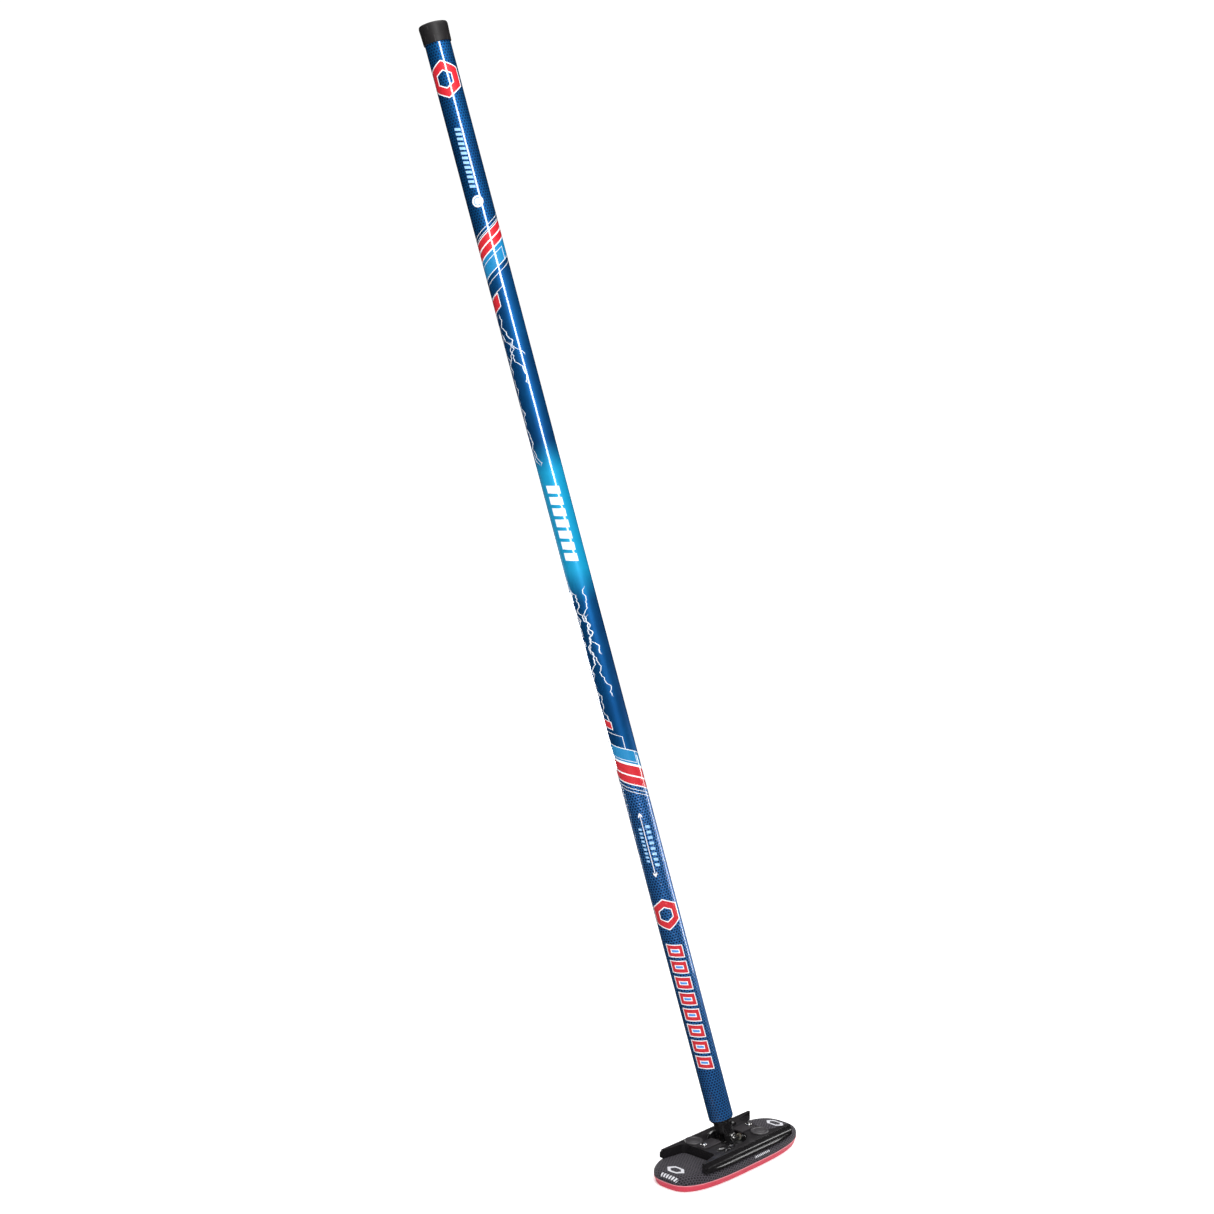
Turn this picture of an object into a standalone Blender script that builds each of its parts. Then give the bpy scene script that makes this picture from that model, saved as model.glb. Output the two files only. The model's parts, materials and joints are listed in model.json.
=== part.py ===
"""A curling broom: a carbon-fibre shaft, a two-axis swivel and a flat head with a removable pad.

Metres, +Z up. The origin is the centre of the pad's flat sweeping face, +X runs along the
head and +Y across it. The shaft leans away from upright about both axes of the swivel.
Inside this script the lengths are given in millimetres times MM.
"""

import math

import bmesh
import bpy
from mathutils import Matrix, Vector

MM = 0.001
GAP = 0.3 * MM
BORE_PLAY = 0.25 * MM
THROUGH = 50.0 * MM  # the reach of a cutter that goes right through

# Shaft: distances along it are measured from the cross bolt's axis.
TUBE_RADIUS = 12.7 * MM
TUBE_BORE_RADIUS = 11.4 * MM
TUBE_START = 21.3 * MM
TUBE_END = 1144.6 * MM
CAP_START = 1130.7 * MM
CAP_END = 1150.1 * MM
NECK_RADIUS = 9.35 * MM
NECK_BOTTOM = -6.2 * MM
SPIGOT_RADIUS = 11.1 * MM
SPIGOT_END = 61.0 * MM
SLOT_HALF_WIDTH = 5.0 * MM
SLOT_ROOF = 6.6 * MM

# Swivel: the head axle lies along X, and the cross bolt lies across it, higher up.
AXLE_HEIGHT = 20.5 * MM
BOLT_ABOVE_AXLE = 5.8 * MM
LEAN_ACROSS = math.radians(-10.841)
LEAN_ALONG = math.radians(-9.867)
AXLE_RADIUS = 1.9 * MM
AXLE_HALF_LENGTH = 29.6 * MM
BOLT_RADIUS = 2.2 * MM
BOLT_HEAD_RADIUS = 4.0 * MM
BOLT_HEAD_FACE = -10.8 * MM
BOLT_HEAD_SEAT = -8.3 * MM
BOLT_TIP = 10.3 * MM
NUT_CORNER_RADIUS = 4.62 * MM
NUT_SEAT = 6.6 * MM
NUT_THICKNESS = 2.6 * MM
BLOCK_HALF_WIDTH = 3.7 * MM
BLOCK_LOW_RADIUS = 5.2 * MM
BLOCK_HIGH_RADIUS = 5.8 * MM
WASHER_RADIUS = 4.9 * MM
WASHER_THICKNESS = 0.8 * MM

# Head plate
PLATE_TOP = 26.2 * MM
PLATE_BOTTOM = 16.9 * MM
PLATE_HALF_LENGTH = 70.0 * MM
PLATE_FLAT_HALF_WIDTH = 27.4 * MM
SKIRT_HALF_WIDTH = 35.3 * MM
HUB_HOLE_RADIUS = 19.4 * MM
HUB_EDGE = 1.6 * MM
CUTOUT_START = 43.5 * MM
CUTOUT_HALF_WIDTH = 20.5 * MM
CUTOUT_MOUTH_HALF_WIDTH = 25.4 * MM
CUTOUT_CORNER = 5.5 * MM
BUSH_RADIUS = 3.4 * MM
BUSH_START = 19.8 * MM
BUSH_END = 29.9 * MM
TAB_START = 17.0 * MM
TAB_HALF_WIDTH = 6.6 * MM
TAB_THICKNESS = 1.6 * MM
SCREW_X = 36.6 * MM
SCREW_RADIUS = 1.6 * MM
SCREW_HEAD_RADIUS = 3.3 * MM
SCREW_TIP = 18.3 * MM
INSERT_RADIUS = 2.9 * MM
INSERT_BOTTOM = 17.8 * MM
INSERT_TOP = 24.8 * MM
STUD_X = 33.0 * MM
STUD_Y = 16.6 * MM
STUD_SHANK_RADIUS = 4.6 * MM
STUD_HOLE_RADIUS = 4.95 * MM
SCOOP_X = 23.5 * MM
SCOOP_Y = 18.2 * MM
SCOOP_RADII = (13.5 * MM, 6.6 * MM, 4.4 * MM)
KNOB_RADII = (5.2 * MM, 2.8 * MM, 2.9 * MM)

# Pad: every level of it is the same rounded oval, drawn in or out a little.
PAD_HALF_LENGTH = 96.0 * MM
PAD_HALF_WIDTH = 36.0 * MM
PAD_SQUARENESS = 3.05
BAND_HEIGHT = 7.8 * MM
FABRIC_THICKNESS = 1.0 * MM
FOAM_TOP = 12.6 * MM
COVER_TOP = 16.3 * MM
COVER_THICKNESS = 1.2 * MM
COVER_OPENING = (41.9 * MM, 27.0 * MM)
BOSS_SIZE = (41.2 * MM, 26.4 * MM)
BOSS_SQUARENESS = 4.5
BOARD_TOP = 14.7 * MM
BOARD_SETBACK = 7.0 * MM

ROUND_STEPS = 32
PAD_STEPS = 64
SMOOTH_ANGLE = math.radians(35)


def clear_scene():
    for thing in list(bpy.data.objects):
        bpy.data.objects.remove(thing)


def make_material(name, colour, roughness, metallic=0.0):
    material = bpy.data.materials.new(name)
    material.use_nodes = True
    shader = material.node_tree.nodes["Principled BSDF"]
    shader.inputs["Base Color"].default_value = (*colour, 1.0)
    shader.inputs["Roughness"].default_value = roughness
    shader.inputs["Metallic"].default_value = metallic
    return material


def make_axis(name, location, rotation, parent=None):
    """An empty whose origin lies on a hinge's axis."""
    axis = bpy.data.objects.new(name, None)
    bpy.context.scene.collection.objects.link(axis)
    axis.location = location
    axis.rotation_euler = rotation
    axis.parent = parent
    return axis


def add_object(name, bm, material=None, parent=None):
    bmesh.ops.recalc_face_normals(bm, faces=bm.faces)
    mesh = bpy.data.meshes.new(name)
    bm.to_mesh(mesh)
    bm.free()
    thing = bpy.data.objects.new(name, mesh)
    bpy.context.scene.collection.objects.link(thing)
    thing.parent = parent
    if material is None:
        thing.hide_render = True
        thing.display_type = "WIRE"
    else:
        mesh.materials.append(material)
        mesh.shade_smooth()
        mesh.set_sharp_from_angle(angle=SMOOTH_ANGLE)
    return thing


def combine(thing, operation, *tools):
    """Cuts the tools from the thing, joins them to it, or keeps what they share."""
    for tool in tools:
        modifier = thing.modifiers.new(operation.title(), "BOOLEAN")
        modifier.operation = operation
        modifier.object = tool


def ring_points(points, bm):
    return [bm.verts.new(point) for point in points]


def skin(bm, rings, closed=False):
    """Joins each ring of vertices to the next. The ends are capped, or the last joins the first."""
    pairs = list(zip(rings, rings[1:]))
    if closed:
        pairs.append((rings[-1], rings[0]))
    else:
        bm.faces.new(rings[0])
        bm.faces.new(rings[-1])
    for lower, upper in pairs:
        count = len(lower)
        for i in range(count):
            j = (i + 1) % count
            bm.faces.new((lower[i], lower[j], upper[j], upper[i]))


def turned(profile, steps=ROUND_STEPS, hollow=False, axis="Z"):
    """A solid turned from (radius, height) points. A hollow profile runs right round its wall."""
    bm = bmesh.new()
    rings = []
    for radius, height in profile:
        turns = [2 * math.pi * i / steps for i in range(steps)]
        points = [(radius * math.cos(a), radius * math.sin(a), height) for a in turns]
        rings.append(ring_points(points, bm))
    skin(bm, rings, closed=hollow)
    turn = {
        "X": Matrix.Rotation(math.pi / 2, 4, "Y"),
        "Y": Matrix.Rotation(-math.pi / 2, 4, "X"),
        "Z": Matrix.Identity(4),
    }[axis]
    bm.transform(turn)
    return bm


def rod(radius, start, end, axis="Z", steps=ROUND_STEPS, chamfer=0.0):
    profile = [
        (radius - chamfer, start),
        (radius, start + chamfer),
        (radius, end - chamfer),
        (radius - chamfer, end),
    ]
    if chamfer == 0.0:
        profile = [(radius, start), (radius, end)]
    return turned(profile, steps, axis=axis)


def pipe(outer, inner, start, end, axis="Z", steps=ROUND_STEPS):
    profile = [(outer, start), (outer, end), (inner, end), (inner, start)]
    return turned(profile, steps, hollow=True, axis=axis)


def prism(outline, bottom, top):
    """A flat outline in X and Y raised from bottom to top."""
    bm = bmesh.new()
    skin(bm, [ring_points([(x, y, z) for x, y in outline], bm) for z in (bottom, top)])
    return bm


def block(low, high):
    (x0, y0, z0), (x1, y1, z1) = low, high
    return prism([(x0, y0), (x1, y0), (x1, y1), (x0, y1)], z0, z1)


def moved(bm, offset):
    bmesh.ops.translate(bm, verts=bm.verts, vec=offset)
    return bm


def arc(centre, radius, start, end, steps):
    """Points on an arc, with the angles in degrees."""
    angles = [math.radians(start + (end - start) * i / steps) for i in range(steps + 1)]
    x, y = centre
    return [(x + radius * math.cos(a), y + radius * math.sin(a)) for a in angles]


def oval(half_length, half_width, squareness=PAD_SQUARENESS, steps=PAD_STEPS):
    """A superellipse: squareness 2 is an ellipse, and more than 2 squares it off."""
    points = []
    for i in range(steps):
        a = 2 * math.pi * i / steps
        x = math.copysign(abs(math.cos(a)) ** (2 / squareness), math.cos(a))
        y = math.copysign(abs(math.sin(a)) ** (2 / squareness), math.sin(a))
        points.append((half_length * x, half_width * y))
    return points


def pad_level(drawn_in, z):
    """The pad's outline at height z, drawn in by a distance."""
    half_length = PAD_HALF_LENGTH - drawn_in
    half_width = PAD_HALF_WIDTH - drawn_in
    return [(x, y, z) for x, y in oval(half_length, half_width)]


def opening_level(size, z):
    return [(x, y, z) for x, y in oval(*size, BOSS_SQUARENESS)]


def loft(levels, closed=False):
    bm = bmesh.new()
    skin(bm, [ring_points(level, bm) for level in levels], closed)
    return bm


def make_shaft(parent, paint, rubber):
    tube = pipe(TUBE_RADIUS, TUBE_BORE_RADIUS, TUBE_START, TUBE_END, steps=40)
    add_object("shaft_tube", tube, paint, parent)
    skirt_inside = TUBE_RADIUS + GAP
    lip = skirt_inside + 0.6 * MM
    swell = skirt_inside + 1.4 * MM
    tube_stop = TUBE_END + GAP
    plug_end = CAP_START - 5 * MM
    profile = [
        (SPIGOT_RADIUS - 0.6 * MM, plug_end),
        (SPIGOT_RADIUS, plug_end + 2 * MM),
        (SPIGOT_RADIUS, tube_stop),
        (skirt_inside, tube_stop),
        (skirt_inside, CAP_START),
        (lip, CAP_START),
        (swell - 0.1 * MM, CAP_END - 5 * MM),
        (swell, CAP_END - 3 * MM),
        (swell - 0.4 * MM, CAP_END - 1.2 * MM),
        (swell - 1.8 * MM, CAP_END - 0.2 * MM),
        (swell - 3.4 * MM, CAP_END),
    ]
    add_object("end_cap", turned(profile, 36), rubber, parent)


def make_neck(parent, plastic, steel):
    """The neck glues into the tube, and its two ears straddle the swivel block."""
    flange_radius = 11.9 * MM
    hollow_radius = 6.5 * MM
    profile = [
        (hollow_radius, NECK_BOTTOM),
        (NECK_RADIUS - 0.75 * MM, NECK_BOTTOM + 1.7 * MM),
        (NECK_RADIUS, NECK_BOTTOM + 4.0 * MM),
        (NECK_RADIUS, TUBE_START - 4.0 * MM),
        (NECK_RADIUS + 1.25 * MM, TUBE_START - 2.6 * MM),
        (flange_radius, TUBE_START - 1.4 * MM),
        (flange_radius, TUBE_START - GAP),
        (SPIGOT_RADIUS, TUBE_START - GAP),
        (SPIGOT_RADIUS, SPIGOT_END - 1 * MM),
        (SPIGOT_RADIUS - 1 * MM, SPIGOT_END),
        (hollow_radius, SPIGOT_END),
        (hollow_radius, TUBE_START + 6 * MM),
    ]
    neck = add_object("neck", turned(profile), plastic, parent)
    reach = 15 * MM
    slot = block((-reach, -SLOT_HALF_WIDTH, -reach), (reach, SLOT_HALF_WIDTH, SLOT_ROOF))
    bore = rod(BOLT_RADIUS + BORE_PLAY, -reach, reach, "Y", 28)
    head_seat = rod(BOLT_HEAD_RADIUS + GAP, -reach, BOLT_HEAD_SEAT, "Y", 28)
    nut_pocket = rod(NUT_CORNER_RADIUS + GAP, NUT_SEAT, reach, "Y", 6)
    tools = {"slot": slot, "bore": bore, "head_seat": head_seat, "nut_pocket": nut_pocket}
    for name, bm in tools.items():
        combine(neck, "DIFFERENCE", add_object("neck_" + name, bm, None, parent))

    bolt_profile = [
        (BOLT_HEAD_RADIUS - 0.7 * MM, BOLT_HEAD_FACE),
        (BOLT_HEAD_RADIUS, BOLT_HEAD_FACE + 0.6 * MM),
        (BOLT_HEAD_RADIUS, BOLT_HEAD_SEAT - GAP),
        (BOLT_RADIUS, BOLT_HEAD_SEAT - GAP),
        (BOLT_RADIUS, BOLT_TIP - 0.5 * MM),
        (BOLT_RADIUS - 0.5 * MM, BOLT_TIP),
    ]
    bolt = add_object("cross_bolt", turned(bolt_profile, 28, axis="Y"), steel, parent)
    socket_floor = BOLT_HEAD_FACE + 1.5 * MM
    socket = rod(1.9 * MM, BOLT_HEAD_FACE - 1 * MM, socket_floor, "Y", 6)
    combine(bolt, "DIFFERENCE", add_object("bolt_socket", socket, None, parent))
    nut_start = NUT_SEAT + GAP
    nut = rod(NUT_CORNER_RADIUS, nut_start, nut_start + NUT_THICKNESS, "Y", 6)
    nut = add_object("bolt_nut", nut, steel, parent)
    nut_bore = rod(BOLT_RADIUS + BORE_PLAY, 0, reach, "Y", 28)
    combine(nut, "DIFFERENCE", add_object("nut_bore", nut_bore, None, parent))


def make_swivel(parent, plastic, steel, nylon):
    """The block that links the two axes, on the axle that carries the head."""
    side = arc((0, 0), BLOCK_LOW_RADIUS, -180, 0, 14)
    side += arc((0, BOLT_ABOVE_AXLE), BLOCK_HIGH_RADIUS, 0, 180, 16)
    bm = prism(side, -BLOCK_HALF_WIDTH, BLOCK_HALF_WIDTH)
    bm.transform(Matrix.Rotation(math.pi / 2, 4, "X"))
    link = add_object("swivel_block", bm, plastic, parent)
    reach = 12 * MM
    axle_bore = rod(AXLE_RADIUS + BORE_PLAY, -reach, reach, "X", 24)
    bolt_bore = rod(BOLT_RADIUS + BORE_PLAY, -reach, reach, "Y", 28)
    moved(bolt_bore, (0, 0, BOLT_ABOVE_AXLE))
    combine(link, "DIFFERENCE", add_object("block_axle_bore", axle_bore, None, parent))
    combine(link, "DIFFERENCE", add_object("block_bolt_bore", bolt_bore, None, parent))
    axle = rod(AXLE_RADIUS, -AXLE_HALF_LENGTH, AXLE_HALF_LENGTH, "X", 24, 0.4 * MM)
    add_object("head_axle", axle, steel, parent)
    start = BLOCK_HALF_WIDTH + BORE_PLAY
    for side_name, sign in (("near", -1), ("far", 1)):
        inner, outer = sorted((sign * start, sign * (start + WASHER_THICKNESS)))
        washer = pipe(WASHER_RADIUS, BOLT_RADIUS + BORE_PLAY, inner, outer, "Y", 28)
        moved(washer, (0, 0, BOLT_ABOVE_AXLE))
        add_object("friction_washer_" + side_name, washer, nylon, parent)


def plate_section():
    """The stepped rail of the plate's cross-section, from the edge of the flat top to its foot."""
    rail = [
        (0.0, 0.0),
        (1.0, 0.35),
        (1.8, 2.4),
        (2.5, 3.4),
        (3.9, 4.0),
        (4.8, 5.0),
        (5.2, 6.1),
        (7.2, 6.9),
        (7.9, 7.6),
        (7.9, 8.8),
        (7.4, 9.3),
    ]
    return [(PLATE_FLAT_HALF_WIDTH + out * MM, PLATE_TOP - down * MM) for out, down in rail]


def cutout_outline(sign):
    """The bay in the end of the plate, which flares towards its mouth."""
    corner = CUTOUT_CORNER
    inner = CUTOUT_START
    mouth = PLATE_HALF_LENGTH + 5 * MM
    slope = (CUTOUT_MOUTH_HALF_WIDTH - CUTOUT_HALF_WIDTH) / (PLATE_HALF_LENGTH - inner)
    width_at_corner = CUTOUT_HALF_WIDTH + slope * corner
    width_at_mouth = CUTOUT_HALF_WIDTH + slope * (mouth - inner)
    corner_centre = (inner + corner, width_at_corner - corner)
    upper = [(mouth, width_at_mouth)] + arc(corner_centre, corner, 100, 180, 8)
    lower = [(x, -y) for x, y in reversed(upper)]
    return [(sign * x, y) for x, y in upper + lower]


def ellipsoid(radii, centre, steps=20):
    bm = bmesh.new()
    bmesh.ops.create_uvsphere(bm, u_segments=steps, v_segments=steps // 2, radius=1.0)
    bm.transform(Matrix.Diagonal((*radii, 1.0)))
    return moved(bm, centre)


def make_plate(plastic):
    half = plate_section()
    section = half + [(-y, z) for y, z in reversed(half)]
    bm = prism(section, -PLATE_HALF_LENGTH, PLATE_HALF_LENGTH)
    bm.transform(Matrix(((0, 0, 1, 0), (1, 0, 0, 0), (0, 1, 0, 0), (0, 0, 0, 1))))
    plate = add_object("head_plate", bm, plastic)
    below, above = PLATE_BOTTOM - 5 * MM, PLATE_TOP + 5 * MM

    outline = oval(PAD_HALF_LENGTH + 1.5 * MM, SKIRT_HALF_WIDTH + 0.4 * MM)
    combine(plate, "INTERSECT", add_object("plate_trim", prism(outline, below, above)))

    hub = [
        (HUB_HOLE_RADIUS, below),
        (HUB_HOLE_RADIUS, PLATE_TOP - HUB_EDGE),
        (HUB_HOLE_RADIUS + HUB_EDGE / 3, PLATE_TOP - HUB_EDGE / 2),
        (HUB_HOLE_RADIUS + HUB_EDGE, PLATE_TOP),
        (HUB_HOLE_RADIUS + HUB_EDGE, above),
    ]
    combine(plate, "DIFFERENCE", add_object("hub_hole", turned(hub, 48)))
    for side_name, sign in (("left", -1), ("right", 1)):
        bay = prism(cutout_outline(sign), below, above)
        tools = {"bay": bay}
        groove_radius = BUSH_RADIUS + GAP
        start, end = sorted((sign * 15 * MM, sign * (BUSH_END + GAP)))
        groove = rod(groove_radius, start, end, "X", 28)
        tools["groove"] = moved(groove, (0, 0, AXLE_HEIGHT))
        low = (start, -groove_radius, AXLE_HEIGHT)
        tools["groove_mouth"] = block(low, (end, groove_radius, above))
        insert_hole = rod(INSERT_RADIUS + BORE_PLAY, INSERT_BOTTOM - GAP, above, steps=24)
        tools["insert_hole"] = moved(insert_hole, (sign * SCREW_X, 0, 0))
        stud_hole = rod(STUD_HOLE_RADIUS, below, above, steps=28)
        tools["stud_hole"] = moved(stud_hole, (sign * STUD_X, -sign * STUD_Y, 0))
        centre = (sign * SCOOP_X, sign * SCOOP_Y, PLATE_TOP + 1.2 * MM)
        tools["scoop"] = ellipsoid(SCOOP_RADII, centre)
        y0, y1 = sorted((sign * 22 * MM, sign * 30 * MM))
        pocket_top = PLATE_BOTTOM + 4.5 * MM
        tools["pocket"] = block((-15 * MM, y0, below), (15 * MM, y1, pocket_top))
        for name, bm in tools.items():
            tool = add_object(name + "_" + side_name, bm)
            combine(plate, "DIFFERENCE", tool)
        knob_centre = (sign * (SCOOP_X - 2.5 * MM), sign * SCOOP_Y, PLATE_TOP - 3.2 * MM)
        knob = ellipsoid(KNOB_RADII, knob_centre, 16)
        combine(plate, "UNION", add_object("scoop_knob_" + side_name, knob))


def make_axle_supports(plastic, nylon, steel, brass):
    """At each end of the axle: a bush, the tab that holds it down, its screw and its insert."""
    tab_bottom = PLATE_TOP + GAP
    tab_top = tab_bottom + TAB_THICKNESS
    tip_x = SCREW_X - 0.7 * MM
    for side_name, sign in (("left", -1), ("right", 1)):
        start, end = sorted((sign * BUSH_START, sign * BUSH_END))
        bush = pipe(BUSH_RADIUS, AXLE_RADIUS + BORE_PLAY, start, end, "X", 28)
        moved(bush, (0, 0, AXLE_HEIGHT))
        add_object("axle_bush_" + side_name, bush, nylon)

        tip = arc((tip_x, 0), TAB_HALF_WIDTH, 90, -90, 14)
        square = [(TAB_START, -TAB_HALF_WIDTH), (TAB_START, TAB_HALF_WIDTH)]
        outline = [(sign * x, y) for x, y in square + tip]
        rib_bottom = AXLE_HEIGHT + BUSH_RADIUS + GAP
        tab = prism(outline, tab_bottom, tab_top)
        tab = add_object("axle_tab_" + side_name, tab, plastic)
        x0, x1 = sorted((sign * (BUSH_START + 0.4 * MM), sign * (BUSH_END - 0.4 * MM)))
        half_width = BUSH_RADIUS - 0.2 * MM
        rib = block((x0, -half_width, rib_bottom), (x1, half_width, tab_bottom + 0.8 * MM))
        combine(tab, "UNION", add_object("tab_rib_" + side_name, rib))
        hole = rod(SCREW_RADIUS + 0.35 * MM, 0, THROUGH, steps=24)
        moved(hole, (sign * SCREW_X, 0, 0))
        combine(tab, "DIFFERENCE", add_object("tab_hole_" + side_name, hole))

        head_bottom = tab_top + GAP
        screw_profile = [
            (SCREW_RADIUS - 0.5 * MM, SCREW_TIP),
            (SCREW_RADIUS, SCREW_TIP + 0.7 * MM),
            (SCREW_RADIUS, head_bottom),
            (SCREW_HEAD_RADIUS, head_bottom),
            (SCREW_HEAD_RADIUS, head_bottom + 0.7 * MM),
            (SCREW_HEAD_RADIUS - 0.5 * MM, head_bottom + 1.4 * MM),
            (SCREW_HEAD_RADIUS - 1.7 * MM, head_bottom + 1.8 * MM),
        ]
        screw = moved(turned(screw_profile, 18), (sign * SCREW_X, 0, 0))
        screw = add_object("tab_screw_" + side_name, screw, steel)
        recess_floor = head_bottom + 0.6 * MM
        for arm, (x, y) in (("x", (1.9 * MM, 0.45 * MM)), ("y", (0.45 * MM, 1.9 * MM))):
            recess = block((-x, -y, recess_floor), (x, y, THROUGH))
            moved(recess, (sign * SCREW_X, 0, 0))
            tool = add_object(f"screw_recess_{side_name}_{arm}", recess)
            combine(screw, "DIFFERENCE", tool)

        insert_bore = SCREW_RADIUS + BORE_PLAY
        insert = pipe(INSERT_RADIUS, insert_bore, INSERT_BOTTOM, INSERT_TOP, steps=24)
        moved(insert, (sign * SCREW_X, 0, 0))
        add_object("threaded_insert_" + side_name, insert, brass)


def make_studs(plastic):
    """Two studs hold the pad to the plate. Each shows as a ringed disc on top of it."""
    flange_bottom = PLATE_TOP + GAP
    profile = [
        (STUD_SHANK_RADIUS - 0.4 * MM, FOAM_TOP + 0.6 * MM),
        (STUD_SHANK_RADIUS, FOAM_TOP + 1.4 * MM),
        (STUD_SHANK_RADIUS, flange_bottom),
    ]
    disc = [
        (9.6, 0.0),
        (9.7, 0.5),
        (9.3, 1.4),
        (8.5, 1.8),
        (7.0, 1.7),
        (6.4, 1.1),
        (5.7, 1.1),
        (4.6, 1.6),
        (2.4, 2.0),
    ]
    profile += [(radius * MM, flange_bottom + height * MM) for radius, height in disc]
    for side_name, sign in (("left", -1), ("right", 1)):
        stud = moved(turned(profile, 28), (sign * STUD_X, -sign * STUD_Y, 0))
        add_object("pad_stud_" + side_name, stud, plastic)


def make_pad(fabric, foam, textile, board):
    wall = FABRIC_THICKNESS
    levels = [
        pad_level(4.0 * MM, 0.0),
        pad_level(2.6 * MM, 0.5 * MM),
        pad_level(1.9 * MM, 1.8 * MM),
        pad_level(0.7 * MM, 5.0 * MM),
        pad_level(0.0, BAND_HEIGHT),
        pad_level(wall, BAND_HEIGHT),
        pad_level(1.7 * MM + wall, 5.0 * MM),
        pad_level(4.0 * MM + wall, wall),
    ]
    add_object("sweeping_fabric", loft(levels), fabric)

    levels = [
        pad_level(5.5 * MM, wall + GAP),
        pad_level(3.2 * MM, 5.0 * MM),
        pad_level(1.7 * MM, BAND_HEIGHT),
        pad_level(1.7 * MM, FOAM_TOP - 1.5 * MM),
        pad_level(3.0 * MM, FOAM_TOP),
    ]
    add_object("foam_core", loft(levels), foam)

    lip = COVER_THICKNESS
    under = COVER_TOP - lip
    levels = [
        pad_level(0.0, BAND_HEIGHT + GAP),
        pad_level(-0.2 * MM, 10.5 * MM),
        pad_level(0.1 * MM, 12.6 * MM),
        pad_level(1.3 * MM, 14.4 * MM),
        pad_level(3.8 * MM, 15.6 * MM),
        pad_level(8.0 * MM, COVER_TOP - 0.1 * MM),
        opening_level(COVER_OPENING, COVER_TOP),
        opening_level(COVER_OPENING, under),
        pad_level(8.4 * MM, under - 0.1 * MM),
        pad_level(4.6 * MM, 14.5 * MM),
        pad_level(2.4 * MM, 13.5 * MM),
        pad_level(1.3 * MM, 12.2 * MM),
        pad_level(1.2 * MM, BAND_HEIGHT + GAP),
    ]
    add_object("pad_cover", loft(levels, closed=True), textile)

    boss_top = PLATE_BOTTOM - GAP
    levels = [
        pad_level(BOARD_SETBACK, FOAM_TOP + GAP),
        pad_level(BOARD_SETBACK, BOARD_TOP),
        opening_level(BOSS_SIZE, BOARD_TOP),
        opening_level(BOSS_SIZE, boss_top),
    ]
    stiffener = add_object("pad_stiffener", loft(levels), board)
    tools = {"hub_clearance": rod(14 * MM, 0, THROUGH, steps=40)}
    for side_name, sign in (("left", -1), ("right", 1)):
        hole = rod(STUD_HOLE_RADIUS, 0, THROUGH, steps=28)
        tools["pad_stud_hole_" + side_name] = moved(hole, (sign * STUD_X, -sign * STUD_Y, 0))
    for name, bm in tools.items():
        combine(stiffener, "DIFFERENCE", add_object(name, bm))


def main():
    clear_scene()
    bpy.context.scene.unit_settings.scale_length = 1.0
    paint = make_material("shaft_lacquer", (0.02, 0.045, 0.22), 0.22)
    rubber = make_material("cap_rubber", (0.025, 0.025, 0.027), 0.7)
    gloss = make_material("gloss_plastic", (0.012, 0.012, 0.013), 0.15)
    grained = make_material("grained_plastic", (0.05, 0.048, 0.05), 0.55)
    steel = make_material("steel", (0.72, 0.72, 0.73), 0.25, 1.0)
    nylon = make_material("nylon", (0.7, 0.69, 0.64), 0.5)
    brass = make_material("brass", (0.75, 0.55, 0.24), 0.3, 1.0)
    fabric = make_material("sweeping_nylon", (0.75, 0.03, 0.07), 0.8)
    textile = make_material("cover_textile", (0.075, 0.07, 0.08), 0.75)
    foam = make_material("foam", (0.35, 0.35, 0.36), 0.95)
    board = make_material("stiffener_plastic", (0.06, 0.06, 0.06), 0.6)

    head_axis = make_axis("head_tilt_axis", (0, 0, AXLE_HEIGHT), (LEAN_ACROSS, 0, 0))
    bolt_place = (0, 0, BOLT_ABOVE_AXLE)
    neck_axis = make_axis("neck_tilt_axis", bolt_place, (0, LEAN_ALONG, 0), head_axis)
    make_shaft(neck_axis, paint, rubber)
    make_neck(neck_axis, gloss, steel)
    make_swivel(head_axis, gloss, steel, nylon)
    make_plate(grained)
    make_axle_supports(grained, nylon, steel, brass)
    make_studs(grained)
    make_pad(fabric, foam, textile, board)


main()
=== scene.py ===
"""The looks of a curling broom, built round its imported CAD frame.

The printed shaft, its cap, the neck, the fasteners and the pad are made here as finer meshes in
place of their CAD nodes. The head plate and its tabs are copies of their CAD meshes with rounded
edges, and the pieces inside are the CAD nodes themselves, with finer materials.
Everything is in metres, and MM turns a length in millimetres into metres.
"""

import json
import math

import bmesh
import bpy
import numpy as np
from mathutils import Matrix, Vector

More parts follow.
